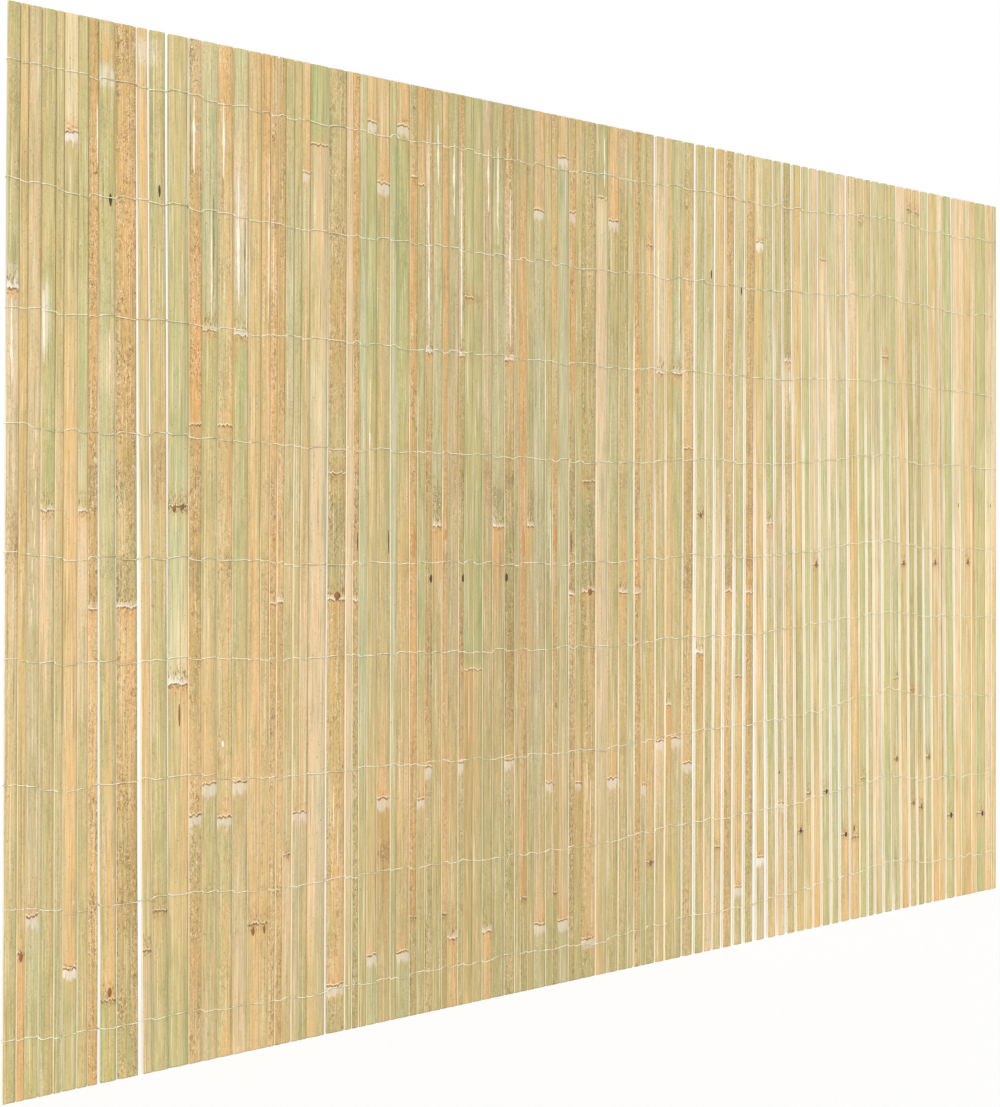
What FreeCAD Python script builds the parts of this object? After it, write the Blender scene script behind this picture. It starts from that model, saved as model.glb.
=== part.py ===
import FreeCAD, Part
import Sketcher
import os

# A fence panel of split bamboo: upright slats side by side, laced together by rows of thin wire.
# The panel stands in the X-Z plane with its skin side towards -Y.
# The origin is under the middle of the panel, at the level of the slats' feet.

doc = FreeCAD.newDocument("bamboo_fence_panel")

# Driving dimensions, in millimetres.
sheet = doc.addObject("Spreadsheet::Sheet", "Dims")
dimensions = {
    "slat_length": 1000.0,
    "slat_thickness": 5.0,
    "culm_radius": 45.0,
    "narrow": 7.2,
    "slim": 9.4,
    "fair": 11.8,
    "medium": 13.5,
    "wide": 16.3,
    "broad": 21.4,
    "tight_gap": 0.8,
    "plain_gap": 1.8,
    "clear_gap": 3.4,
    "open_gap": 5.4,
    "full_lean": 10.0,
    "ring_rise": 0.55,
    "ring_reach": 2.6,
    "wire_diameter": 0.9,
    "row_wander": 10.0,
    "top_row_drop": 53.0,
    "foot_row_rise": 51.0,
}
for row, (alias, size) in enumerate(dimensions.items(), start=1):
    sheet.set(f"A{row}", alias)
    sheet.set(f"B{row}", str(size))
    sheet.setAlias(f"B{row}", alias)
doc.recompute()

# The slats from left to right, one letter for each width.
widthNames = {"n": "narrow", "s": "slim", "f": "fair", "m": "medium", "w": "wide", "b": "broad"}
widths = (
    "fnfmnmsswbswbmwwwmsnnsnsbb"
    "nnsfwnwsssfnmnffmwmnsswsnw"
    "ssbwwmnsnmmswwmffmmmmmfmms"
    "fmfwwfsmmfmfffmfwfsmsbfs"
)

# The gap after each slat but the last, one letter for each size of gap, at half height.
gapNames = {"t": "tight_gap", "p": "plain_gap", "c": "clear_gap", "o": "open_gap"}
gaps = (
    "tttttttptcpptttttttptpttpt"
    "tttttttttttttttttttttttttt"
    "ttptptcttcctcocooooooooooo"
    "oooocoooooooootooptpcpp"
)

# The ridged rings of the culm, by slat number, as thousandths of the slat's length above its foot.
rings = {
    1: [738], 2: [133], 3: [166], 4: [536], 6: [112, 889], 7: [536], 8: [445], 9: [76], 10: [445],
    11: [117], 12: [153], 13: [369, 542], 14: [241, 622], 15: [270, 715], 16: [236, 622],
    17: [269, 713], 18: [125], 19: [125], 20: [445], 21: [445], 22: [190], 23: [232], 24: [232, 887],
    25: [917], 26: [49, 447, 578], 28: [445], 30: [72, 951], 31: [236, 888], 33: [70, 953],
    34: [105, 900], 35: [231, 892], 36: [264, 712], 37: [524], 38: [102], 39: [74], 40: [265, 711],
    41: [366, 777], 42: [366], 43: [74], 44: [524], 45: [263, 711], 47: [104], 48: [524],
    49: [72, 886], 50: [232], 51: [105], 52: [72, 951], 53: [445, 890], 54: [228], 55: [45, 449, 578],
    56: [912], 57: [228, 888], 58: [447], 60: [445], 61: [216], 62: [122, 865], 63: [267, 712],
    64: [308], 65: [268, 713], 66: [236, 622], 67: [369, 542], 69: [126], 70: [445], 71: [72, 337],
    72: [442], 73: [105, 891], 74: [530], 75: [171], 76: [741], 77: [130], 78: [178], 79: [477],
    80: [178, 881], 82: [115], 83: [110], 84: [187, 941], 87: [761], 88: [208, 319], 89: [477],
    90: [144, 302, 970], 91: [136, 967], 92: [205], 93: [477], 95: [118], 98: [477], 100: [113],
}

# How far a slat's foot stands to the right of its head, as a share of the full lean, at chosen slats.
# The lean changes evenly from one of them to the next.
leans = {
    1: 0, 4: 0.08, 5: 0.13, 8: 0.4, 9: 0.68, 10: 0.75, 11: 1.05, 12: 0.84, 13: 0.56, 20: -0.07,
    21: -0.18, 25: -0.16, 26: -0.03, 30: 0.32, 31: 0.35, 35: 0.2, 40: 0.1, 45: 0.3, 48: 0.45, 49: 0.46,
    54: 0.01, 57: 0, 62: 0.25, 63: 0, 64: -0.2, 66: -0.2, 67: -0.25, 69: -0.65, 72: -0.25, 73: 0.35,
    74: 0.85, 76: 0.98, 80: 0.85, 82: 1, 84: 0.8, 86: 0.85, 88: 1.2, 91: 1.22, 93: 0.95, 95: 1,
    97: 0.63, 99: 0.42, 100: 0.3, 101: 0.05, 102: 0,
}

# The rows of lacing rise and fall along the panel. The course gives the rise as a share of the full
# wander, at shares of the panel's width. Each row has its own strength and lies a little high or low.
rowCourse = {
    0: 0.64, 0.04: -0.07, 0.12: 0.05, 0.19: -0.67, 0.27: -0.6, 0.35: -0.74, 0.49: -0.98,
    0.58: -0.26, 0.65: -0.4, 0.74: 0.35, 0.835: 1.72, 0.88: 0.67, 1: 0.29,
}
rowStrengths = [0.56, 0.69, 0.61, 0.96, 1.09, 1.1, 1.58, 1.3, 1.12]
rowShifts = [-0.28, -0.11, -0.28, 0.05, -0.6, 0.83, 0.5, 0.37, 0.03]

slatsInPair = 2
wireRows = len(rowStrengths)
linkSwell = 1.12  # the wire is a little thicker where it is bent round an end slat


def attach(sketch, body, role):
    """Lays a sketch on one of the body's own origin planes."""
    for feature in body.Origin.OriginFeatures:
        if feature.Role == role:
            sketch.AttachmentSupport = [(feature, "")]
    sketch.MapMode = "FlatFace"


def polygonSketch(body, label, role, corners, closed=True, offset=None):
    """Draws an outline or an open run through corners given as expressions, and binds every corner."""
    sketch = body.newObject("Sketcher::SketchObject", label)
    attach(sketch, body, role)
    if offset:
        sketch.AttachmentOffset = FreeCAD.Placement(
            FreeCAD.Vector(0, 0, sheet.evalExpression(offset)), FreeCAD.Rotation())
        sketch.setExpression("AttachmentOffset.Base.z", offset)
    places = []
    for across, up in corners:
        places.append(FreeCAD.Vector(sheet.evalExpression(across), sheet.evalExpression(up), 0))
    ends = places[1:] + places[:1] if closed else places[1:]
    sketch.addGeometry([Part.LineSegment(start, end) for start, end in zip(places, ends)])
    count = len(ends)
    joins = range(count) if closed else range(count - 1)
    rules = [Sketcher.Constraint("Coincident", line, 2, (line + 1) % count, 1) for line in joins]
    bound = []
    for number, (corner, place) in enumerate(zip(corners, places)):
        line, point = (number, 1) if number < count else (number - 1, 2)
        for kind, axis, expression, size in zip(("DistanceX", "DistanceY"), (-2, -1), corner, place):
            if expression == "0":
                rules.append(Sketcher.Constraint("PointOnObject", line, point, axis))
            else:
                bound.append((len(rules), expression))
                rules.append(Sketcher.Constraint(kind, -1, 1, line, point, size))
    sketch.addConstraint(rules)
    for number, expression in bound:
        sketch.setExpression(f"Constraints[{number}]", expression)
    return sketch


def leanOf(number):
    """A slat's lean, between the chosen slats on either side of it."""
    chosen = sorted(leans)
    for start, end in zip(chosen, chosen[1:]):
        if start <= number <= end:
            return leans[start] + (leans[end] - leans[start]) * (number - start) / (end - start)


def makeSlat(number, width, across, heights):
    """A slice of a ridged culm wall between two radial splits, planed flat at the back."""
    body = doc.addObject("PartDesign::Body", f"slat_{number:03d}")
    outer = "-Dims.culm_radius"
    inner = "-(Dims.culm_radius - Dims.slat_thickness) / 2"
    corners = [(inner, "0"), (outer, "0")]
    for height in heights:
        middle = f"Dims.slat_length * {height} / 1000"
        corners.append((outer, f"{middle} - Dims.ring_reach"))
        corners.append(("-Dims.culm_radius - Dims.ring_rise", middle))
        corners.append((outer, f"{middle} + Dims.ring_reach"))
    corners += [(outer, "Dims.slat_length"), (inner, "Dims.slat_length")]
    wall = polygonSketch(body, f"wall_{number:03d}", "YZ_Plane", corners)
    split = body.newObject("PartDesign::Revolution", f"split_{number:03d}")
    split.Profile = wall
    split.ReferenceAxis = (wall, ["V_Axis"])
    split.Midplane = True
    split.setExpression("Angle", f"2 * asin({width} / (2 * Dims.culm_radius))")

    back = "-(Dims.culm_radius - Dims.slat_thickness)"
    rectangle = [(f"-{width}", back), (width, back), (width, "0"), (f"-{width}", "0")]
    waste = polygonSketch(body, f"waste_{number:03d}", "XY_Plane", rectangle)
    planed = body.newObject("PartDesign::Pocket", f"planed_{number:03d}")
    planed.Profile = waste
    planed.Type = "ThroughAll"
    planed.Midplane = True
    standSlat(body, width, across, leanOf(number))
    return body


def standSlat(body, width, across, share):
    """Puts a slat in its place in the row, turned about its foot by its lean."""
    lean = f"Dims.full_lean * {share:.3f}"
    angle = f"-atan({lean} / Dims.slat_length)"
    if round(share, 3):
        turn = sheet.evalExpression(angle).Value
        body.Placement.Rotation = FreeCAD.Rotation(FreeCAD.Vector(0, 1, 0), turn)
        body.setExpression("Placement.Rotation.Angle", angle)
    body.setExpression("Placement.Base.x", f"{across} + {lean} / 2")
    body.setExpression("Placement.Base.y", "Dims.culm_radius - Dims.slat_thickness / 2")
    body.setExpression("Placement.Base.z", f"{width} / 2 * abs({lean}) / Dims.slat_length")


def makeWire(number):
    """One row of lacing: a strand along the fronts, one along the backs, and a link at each end."""
    body = doc.addObject("PartDesign::Body", f"lacing_wire_{number}")
    depth = "(Dims.slat_thickness + Dims.wire_diameter) / 2"
    end = f"({panelSpan()}) / 2 + Dims.wire_diameter * {linkSwell} / 2"
    course = []
    for share, rise in rowCourse.items():
        height = f"Dims.row_wander * {rise * rowStrengths[number - 1]:.3f}"
        course.append((f"({end}) * {2 * share - 1:.3f}", height))
    makeStrand(body, f"front_{number}", course, depth, end)
    makeLink(body, f"left_{number}", course[0])
    makeLink(body, f"right_{number}", course[-1])
    makeStrand(body, f"back_{number}", course, f"-({depth})", end)
    top = "Dims.slat_length - Dims.top_row_drop"
    level = f"{top} - ({top} - Dims.foot_row_rise) * {number - 1} / {wireRows - 1}"
    body.setExpression("Placement.Base.z", f"{level} + Dims.row_wander * {rowShifts[number - 1]}")
    return body


def hexagon(across, up, swell=1):
    """The corners of the wire's section round a middle, with a flat towards the slats."""
    corner = f"Dims.wire_diameter * {swell} / 2 / cos(30 deg)"
    turns = range(30, 390, 60)
    return [(f"{across} + {corner} * cos({a} deg)", f"{up} + {corner} * sin({a} deg)") for a in turns]


def makeStrand(body, label, course, forward, end):
    """One strand of a row, swept along the row's course in front of the slats or behind them."""
    route = polygonSketch(body, f"route_{label}", "XZ_Plane", course, closed=False, offset=forward)
    corners = hexagon(f"-({forward})", course[0][1])
    section = polygonSketch(body, f"section_{label}", "YZ_Plane", corners, offset=f"-({end})")
    strand = body.newObject("PartDesign::AdditivePipe", f"strand_{label}")
    strand.Profile = section
    strand.Spine = (route, [f"Edge{edge + 1}" for edge in range(route.GeometryCount)])
    strand.Transition = "Right corner"


def makeLink(body, label, place):
    """The wire's short run round the outer side of an end slat."""
    section = polygonSketch(body, f"section_{label}", "XZ_Plane", hexagon(*place, linkSwell))
    link = body.newObject("PartDesign::Pad", f"link_{label}")
    link.Profile = section
    link.Midplane = True
    link.setExpression("Length", f"Dims.slat_thickness + 2 * Dims.wire_diameter * {linkSwell}")


def panelSpan():
    """The width over all slats, as an expression."""
    return runLength(len(widths))


def runLength(count):
    """The width of the first slats with the gap after each, as an expression."""
    terms = []
    for letter, name in widthNames.items():
        terms.append(f"Dims.{name} * {widths[:count].count(letter)}")
    for letter, name in gapNames.items():
        terms.append(f"Dims.{name} * {gaps[:count].count(letter)}")
    return " + ".join(terms)


slats = []
for index, letter in enumerate(widths):
    width = f"Dims.{widthNames[letter]}"
    across = f"{runLength(index)} + {width} / 2 - ({panelSpan()}) / 2"
    slats.append(makeSlat(index + 1, width, across, rings.get(index + 1, [])))

pairs = []
for first in range(0, len(slats), slatsInPair):
    pair = doc.addObject("Part::Compound", f"slat_pair_{len(pairs) + 1:02d}")
    pair.Links = slats[first:first + slatsInPair]
    pairs.append(pair)
wires = [makeWire(number) for number in range(1, wireRows + 1)]
doc.recompute()

for item in doc.Objects:
    if "Invalid" in item.State or "Error" in item.State:
        raise RuntimeError(f"{item.Label} failed")

os.makedirs("parts", exist_ok=True)
nodes = pairs + wires
for node in nodes:
    if node.Shape.isNull() or not node.Shape.isValid():
        raise RuntimeError(f"{node.Label} has no valid shape")
for node in nodes:
    node.Shape.exportStep(f"parts/{node.Label}.step")
    print(node.Label, "solids", len(node.Shape.Solids), "volume", round(node.Shape.Volume, 1))
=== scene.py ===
import math
import random

import bmesh
import bpy
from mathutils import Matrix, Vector, noise


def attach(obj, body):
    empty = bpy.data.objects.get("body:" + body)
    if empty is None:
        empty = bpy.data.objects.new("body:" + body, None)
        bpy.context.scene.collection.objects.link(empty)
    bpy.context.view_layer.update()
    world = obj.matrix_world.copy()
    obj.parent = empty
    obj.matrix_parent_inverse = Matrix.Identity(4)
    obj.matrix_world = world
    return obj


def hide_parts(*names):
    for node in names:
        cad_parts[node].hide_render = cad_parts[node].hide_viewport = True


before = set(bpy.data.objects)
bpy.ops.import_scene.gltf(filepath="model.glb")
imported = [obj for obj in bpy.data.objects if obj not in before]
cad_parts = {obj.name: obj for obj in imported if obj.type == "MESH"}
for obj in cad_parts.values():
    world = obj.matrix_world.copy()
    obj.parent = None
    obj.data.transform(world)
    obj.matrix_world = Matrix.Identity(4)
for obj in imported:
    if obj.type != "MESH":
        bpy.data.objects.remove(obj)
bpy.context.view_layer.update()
mm = 0.001
print("frame loaded")


# colours as they look on screen, 0 to 255
tones = {
    "o": (202, 190, 137),  # olive
    "d": (190, 176, 118),  # deep olive
    "g": (199, 194, 137),  # fresh green
    "s": (207, 200, 155),  # sage
    "y": (201, 200, 160),  # grey sage
    "h": (220, 191, 131),  # ochre
    "t": (211, 190, 139),  # tan
    "k": (213, 193, 154),  # pinkish grey
    "a": (231, 196, 142),  # orange tan
    "r": (228, 181, 118),  # orange
    "b": (206, 173, 112),  # brown
    "c": (243, 222, 183),  # cream
    "p": (236, 209, 174),  # peach
}

# Each slat from foot to head. Letters are tones, spread evenly between two rings.
# ! is a ring with a pale band under it, ^ one with a pale band over it, | a plain one and * a knotty one.
# The number says how mottled the slat is.
looks = """
op^o1 r*hhh1 gy!kkk1 otp^go1 oto1 o!aaat!cc0 otp^sgo1 bha^brb5 g*aatssgo1 oba^obrb4
k*tataa0 ot*ootoo1 oaa^cs*soo0 tbo!abb|rbk4 kto!atog^sys1 hho!ahab|aar2 pkt!atog^sps1 a*aaaa1 a*aaar2 aab^rab4
bab^abb3 tp*ttso1 k!ttsg1 ok!aptts!a1 tpppcp|g0 o!aahb^dtd|obto3 oppppp0 dob^brbrr4 ooyyyys0 s!aathgg!a0
tb!atttto!a1 toyyyyg0 s!aathggg!a1 d*rrrrrr|ao3 ot!asoo|ar1 tok!hbdbt^kb3 oottr^yyso1 d*arrrrra2 a^ttkkko1 tok!hbdbt^kb3
hbr|ggg|gg0 oth|ggog0 a^ottkkk1 oottr^yyso1 tok!hbdbt^kb3 tttkto1 d*rrrrro2 ootto^doo1 s!aotyyg!a1 oo!atsosa1
d*aarraht3 s!aaosssy!a0 dba^bdrb!ao4 ob!atsooh1 o!aahb^dod|odto3 aapppppc|o0 ook!atosoo!a1 otht^hoodk2 okyyyso0 tbb^rbrbb4
ok!atsosg1 o*aahaaa*at2 tkp!toto^pck1 hhr^tahaa1 tok!ttoo^yss1 tto!ahbb|aao3 ohr^cs*ssoo1 ptossoo1 t*aaptah1 bbaa^babb3
o!aa|oosss1 obb^bbbbh3 k!haaahh!c0 atgop^gso1 pk!kkktkoo1 ottattp^dd2 hd*hdhhah0 hh*gggggg0 rahh*pppkp0 oo*sssspp|o0
ossspss0 aa*sssspp1 aa*aaahpp1 gg*gggggg*t0 otooosod1 tpppkos0 oggggg|so0 sg*g|gssgg1 rahh*aaapp0 oo*d*dddg*a1
dd*hddddg*a1 oo*yyssgs0 raaa*aaah0 aappppc0 oo*gggggg0 aapppcpp0 ossysppp0 raaa*aaap0 aahhpca0 oo*gggggg0
appccppa0 aaappk0
""".split()

# Slivers, scars and knots on the slats' fronts: slat, height of the middle, height over all, place across
# from -1 to 1, width, all in mm, and colour.
marks = [
    (14, 905, 74, -0.25, 4.6, "w"), (16, 905, 76, -0.35, 4.0, "w"), (8, 890, 60, 0.9, 2.2, "w"), (4, 705, 70, -0.8, 3.0, "w"),
    (15, 778, 110, 0.2, 2.4, "w"), (15, 800, 100, 0.55, 1.6, "e"), (17, 808, 130, -0.45, 5.0, "w"), (17, 790, 90, 0.55, 1.6, "e"),
    (17, 770, 120, 0.8, 1.8, "w"), (14, 900, 70, -0.9, 1.3, "e"), (19, 815, 170, 0.7, 2.2, "w"), (20, 800, 110, -0.4, 1.4, "c"),
    (36, 830, 220, -0.3, 2.8, "w"), (40, 830, 220, -0.3, 2.6, "w"), (45, 815, 180, 0.1, 3.0, "w"), (37, 930, 64, 0.0, 3.6, "w"),
    (39, 905, 80, 0.0, 3.6, "w"), (43, 910, 70, 0.1, 3.6, "w"), (44, 895, 110, -0.2, 3.8, "w"), (9, 680, 70, 0.35, 2.4, "c"),
    (65, 790, 120, 0.3, 2.4, "w"), (65, 800, 90, 0.6, 1.4, "e"), (63, 800, 170, -0.7, 2.2, "w"), (76, 710, 40, 0.5, 3.0, "w"),
    (86, 825, 150, -0.7, 1.2, "knot"), (94, 520, 700, 0.2, 1.6, "e"), (99, 600, 500, 0.0, 1.6, "knot"), (16, 308, 7, -0.35, 4.0, "w"),
    (1, 690, 80, -0.2, 3.0, "w"), (56, 955, 60, 0.3, 2.4, "w"), (50, 500, 90, 0.5, 1.4, "w"), (30, 620, 120, -0.5, 1.6, "w"),
    (26, 230, 50, -0.3, 1.6, "w"), (26, 200, 60, 0.3, 1.6, "w"), (55, 230, 50, -0.3, 1.6, "w"), (55, 200, 60, 0.3, 1.6, "w"),
    (3, 440, 16, -0.3, 1.4, "c"), (3, 462, 16, 0.1, 1.4, "c"), (3, 486, 16, -0.2, 1.4, "c"), (3, 510, 16, 0.2, 1.4, "c"),
    (3, 534, 16, -0.1, 1.4, "c"), (3, 558, 16, 0.3, 1.4, "c"), (3, 582, 16, 0.0, 1.4, "c"), (3, 606, 16, 0.35, 1.4, "c"),
    (36, 468, 9, 0.85, 4.6, "ink"), (40, 468, 9, 0.85, 4.6, "ink"), (45, 468, 9, -0.85, 4.6, "ink"), (31, 508, 26, 0.85, 1.2, "ink"),
    (53, 508, 24, -0.4, 1.4, "ink"), (28, 508, 20, 0.7, 1.2, "ink"), (12, 846, 12, 0.2, 2.4, "ink"), (9, 831, 12, 0.4, 3.4, "ink"),
    (68, 841, 12, 0.2, 2.2, "ink"), (71, 826, 12, 0.2, 2.6, "ink"), (96, 560, 6, 0.6, 1.8, "ink"), (101, 560, 6, 0.6, 1.8, "ink"),
    (9, 84, 9, 0.1, 4.2, "knot"), (2, 131, 10, 0.0, 3.4, "knot"), (18, 119, 9, -0.1, 4.0, "knot"), (19, 119, 9, 0.1, 3.0, "knot"),
    (13, 540, 7, -0.5, 3.6, "knot"), (13, 541, 6, 0.35, 3.4, "knot"), (13, 340, 22, 0.1, 2.2, "knot"), (67, 541, 7, 0.0, 4.0, "knot"),
    (55, 449, 8, 0.1, 7.0, "knot"), (26, 452, 8, 0.0, 8.0, "knot"), (38, 516, 12, 0.1, 3.0, "rust"), (34, 508, 34, 0.2, 3.4, "rust"),
    (47, 508, 34, -0.1, 3.4, "rust"), (51, 512, 30, 0.1, 3.4, "rust"), (77, 131, 8, 0.1, 4.4, "ink"), (80, 177, 6, 0.1, 5.0, "ink"),
    (82, 116, 7, 0.1, 5.4, "ink"), (90, 302, 9, 0.0, 5.0, "rust"), (90, 144, 7, 0.1, 4.0, "knot"), (91, 137, 8, 0.1, 4.4, "knot"),
    (79, 478, 9, 0.1, 4.6, "knot"), (89, 478, 8, 0.0, 4.6, "knot"), (93, 478, 8, 0.0, 5.2, "knot"), (98, 478, 8, -0.1, 5.2, "knot"),
    (95, 118, 8, 0.1, 5.4, "ink"), (100, 113, 8, 0.1, 5.0, "ink"), (88, 208, 8, 0.1, 4.0, "knot"), (92, 205, 8, 0.2, 4.0, "knot"),
    (75, 210, 3, -0.6, 2.0, "ink"), (62, 121, 8, 0.1, 4.0, "knot"), (83, 122, 8, -0.4, 3.0, "knot"), (88, 325, 5, 0.4, 1.8, "ink"),
]
# the first colour is the dark of knots and spots, and painted shade in the narrow slits
markColours = {"ink": (78, 62, 36), "knot": (150, 104, 52), "rust": (212, 148, 82), "w": (246, 237, 214), "e": (128, 124, 76)}

# Soft patches on the slats: slat, height of the middle, reach up and down in mm, side from -1 to 1 with 0
# for the whole width, colour, and strength out of 9.
patches = [
    (1, 900, 60, 1, "n", 3), (1, 505, 35, 1, "n", 5), (1, 752, 9, 0, "w", 6), (4, 715, 30, -1, "w", 7), (9, 948, 10, 0, "w", 6),
    (9, 675, 25, 0, "c", 6), (9, 975, 15, 0, "r", 6), (10, 475, 15, -1, "e", 8), (10, 565, 22, -1, "e", 7), (11, 978, 12, 0, "w", 5),
    (12, 978, 12, -1, "w", 5), (12, 575, 28, 0, "n", 4), (12, 860, 60, 1, "e", 3), (14, 480, 20, 0, "e", 6), (14, 740, 60, 0, "r", 5),
    (16, 500, 480, -1, "y", 5), (16, 480, 20, 1, "e", 6), (8, 560, 20, 0, "e", 6), (17, 815, 60, -1, "v", 5), (25, 800, 100, 0, "r", 5),
    (26, 578, 8, 0, "e", 7), (26, 510, 40, 0, "e", 5), (31, 180, 10, 0, "n", 6), (32, 575, 175, 0, "v", 3), (36, 840, 110, -1, "w", 4),
    (36, 577, 6, 0, "e", 7), (36, 375, 75, 0, "n", 4), (37, 553, 14, 0, "e", 7), (37, 500, 20, 0, "r", 7), (39, 575, 25, 0, "n", 4),
    (40, 840, 110, -1, "w", 4), (40, 577, 6, 0, "e", 7), (40, 375, 75, 0, "n", 4), (41, 777, 5, 0, "n", 6), (42, 777, 5, 0, "n", 6),
    (43, 575, 25, 0, "n", 4), (44, 553, 14, 0, "e", 7), (44, 500, 20, 0, "r", 7), (45, 820, 90, -1, "w", 4), (45, 577, 6, 0, "e", 7),
    (45, 375, 75, 0, "n", 4), (48, 553, 14, 0, "e", 7), (48, 500, 20, 0, "r", 7), (48, 930, 5, 0, "n", 6), (49, 500, 480, -1, "v", 3),
    (49, 910, 20, 1, "r", 6), (51, 700, 30, 0, "c", 5), (52, 500, 450, 1, "v", 3), (55, 578, 8, 0, "e", 7), (55, 510, 40, 0, "e", 5),
    (56, 150, 150, 1, "y", 5), (57, 915, 22, 0, "r", 6), (58, 580, 8, 0, "n", 6), (58, 420, 20, 0, "r", 6), (66, 465, 18, 0, "e", 6),
    (70, 470, 12, 0, "e", 8), (72, 550, 10, 0, "n", 7), (72, 480, 10, 0, "n", 7), (74, 625, 75, 0, "g", 6), (83, 550, 100, 0, "r", 5),
    (87, 761, 10, 0, "n", 5), (28, 560, 30, 0, "e", 4), (20, 560, 30, 0, "e", 5), (53, 560, 30, 0, "e", 5), (60, 560, 30, 0, "e", 5),
    (34, 200, 120, 0, "e", 3), (47, 200, 120, 0, "e", 3), (51, 200, 120, 0, "e", 3), (10, 140, 120, 0, "e", 3), (22, 760, 120, 1, "v", 3),
]
patchTones = {"w": (248, 241, 224), "e": (140, 134, 82), "n": (164, 128, 74), "v": (222, 220, 208)}

# how light the slats' tones are made from left to right, darkest near slat 46: slat and share
lightnessBySlat = {1: 1.01, 14: 1.0, 24: 0.95, 35: 0.91, 46: 0.87, 56: 0.89, 64: 0.94, 73: 0.98, 82: 1.01, 102: 1.01}


def screenColour(rgb, share=1.0):
    # a colour as it looks on screen, turned into the numbers that a shader takes
    out = []
    for part in rgb:
        part = part / 255 * share
        out.append(part / 12.92 if part < 0.04045 else ((part + 0.055) / 1.055) ** 2.4)
    return (*out, 1.0)


toneColours = {letter: Vector(screenColour(rgb)[:3]) for letter, rgb in tones.items()}
meanTone = sum(toneColours.values(), Vector((0, 0, 0))) / len(toneColours)
toneColours = {letter: colour.lerp(meanTone, 0.20) * Vector((0.99, 1.005, 0.955)) for letter, colour in toneColours.items()}
toneColours |= {letter: Vector(screenColour(rgb)[:3]) for letter, rgb in patchTones.items()}


def lightnessAt(number):
    chosen = sorted(lightnessBySlat)
    for start, end in zip(chosen, chosen[1:]):
        if start <= number <= end:
            return lightnessBySlat[start] + (lightnessBySlat[end] - lightnessBySlat[start]) * (number - start) / (end - start)



class Nodes:
    # short ways to add and join a material's nodes
    def __init__(self, name):
        self.material = bpy.data.materials.new(name)
        self.material.use_nodes = True
        self.tree = self.material.node_tree
        self.shader = self.tree.nodes["Principled BSDF"]

    def add(self, kind, inputs=None, **settings):
        node = self.tree.nodes.new(kind)
        for key, value in settings.items():
            setattr(node, key, value)
        for key, value in (inputs or {}).items():
            self.feed(node.inputs[key], value)
        return node

    def feed(self, socket, value):
        if isinstance(value, bpy.types.NodeSocket):
            self.tree.links.new(value, socket)
        else:
            socket.default_value = value

    def read(self, name, output="Fac"):
        return self.add("ShaderNodeAttribute", attribute_name=name).outputs[output]

    def sum(self, kind, first, second=0.0, third=0.0, clamp=False):
        node = self.add("ShaderNodeMath", operation=kind, use_clamp=clamp)
        for socket, value in zip(node.inputs, (first, second, third)):
            self.feed(socket, value)
        return node.outputs[0]

    def ramp(self, value, start, end, low=0.0, high=1.0):
        inputs = {"Value": value, "From Min": start, "From Max": end, "To Min": low, "To Max": high}
        return self.add("ShaderNodeMapRange", inputs, interpolation_type="SMOOTHSTEP").outputs[0]

    def grain(self, vector, stretch, detail=3.0, roughness=0.55, distortion=0.0):
        scaled = self.add("ShaderNodeVectorMath", {0: vector, 1: stretch}, operation="MULTIPLY").outputs[0]
        inputs = {"Vector": scaled, "Scale": 1.0, "Detail": detail, "Roughness": roughness, "Distortion": distortion}
        return self.add("ShaderNodeTexNoise", inputs).outputs[0]

    def blend(self, share, first, second, kind="MIX"):
        node = self.add("ShaderNodeMix", data_type="RGBA", blend_type=kind, clamp_factor=True)
        for socket, value in ((0, share), (6, first), (7, second)):
            self.feed(node.inputs[socket], value)
        return node.outputs[2]

    def finishWith(self, colour, roughness, bumps, depth):
        bump = self.add("ShaderNodeBump", {"Height": bumps, "Strength": 0.6, "Distance": depth})
        self.feed(self.shader.inputs["Base Color"], colour)
        self.feed(self.shader.inputs["Roughness"], roughness)
        self.feed(self.shader.inputs["Normal"], bump.outputs[0])
        return self.material


skin = {
    "fibre": (2.1, 0.020, 7.3),     # cycles per mm across and along, and how far slats differ
    "stripe": (0.42, 0.0042, 3.7),
    "broad": (0.13, 0.0030, 2.9),
    "cloud": (0.09, 0.022, 5.9),
    "blotch": (0.42, 0.17, 5.1),
    "swirl": (0.34, 0.15, 7.7),
    "fleck": (0.85, 0.30, 9.7),
    "patch": (0.10, 0.020, 8.3),
    "gloss": (0.50, 0.68),
    "grainDepth": 0.00025,
}


def tinted(n, share, colour, factors):
    # the colour times three factors, as far as the share goes
    return n.blend(share, colour, n.blend(1.0, colour, (*factors, 1), "MULTIPLY"))


def contour(n, value, level, width):
    # a thin winding line where the noise passes a level
    distance = n.sum("ABSOLUTE", n.sum("SUBTRACT", value, level))
    return n.ramp(distance, width * 0.4, width, 1.0, 0.0)


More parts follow.
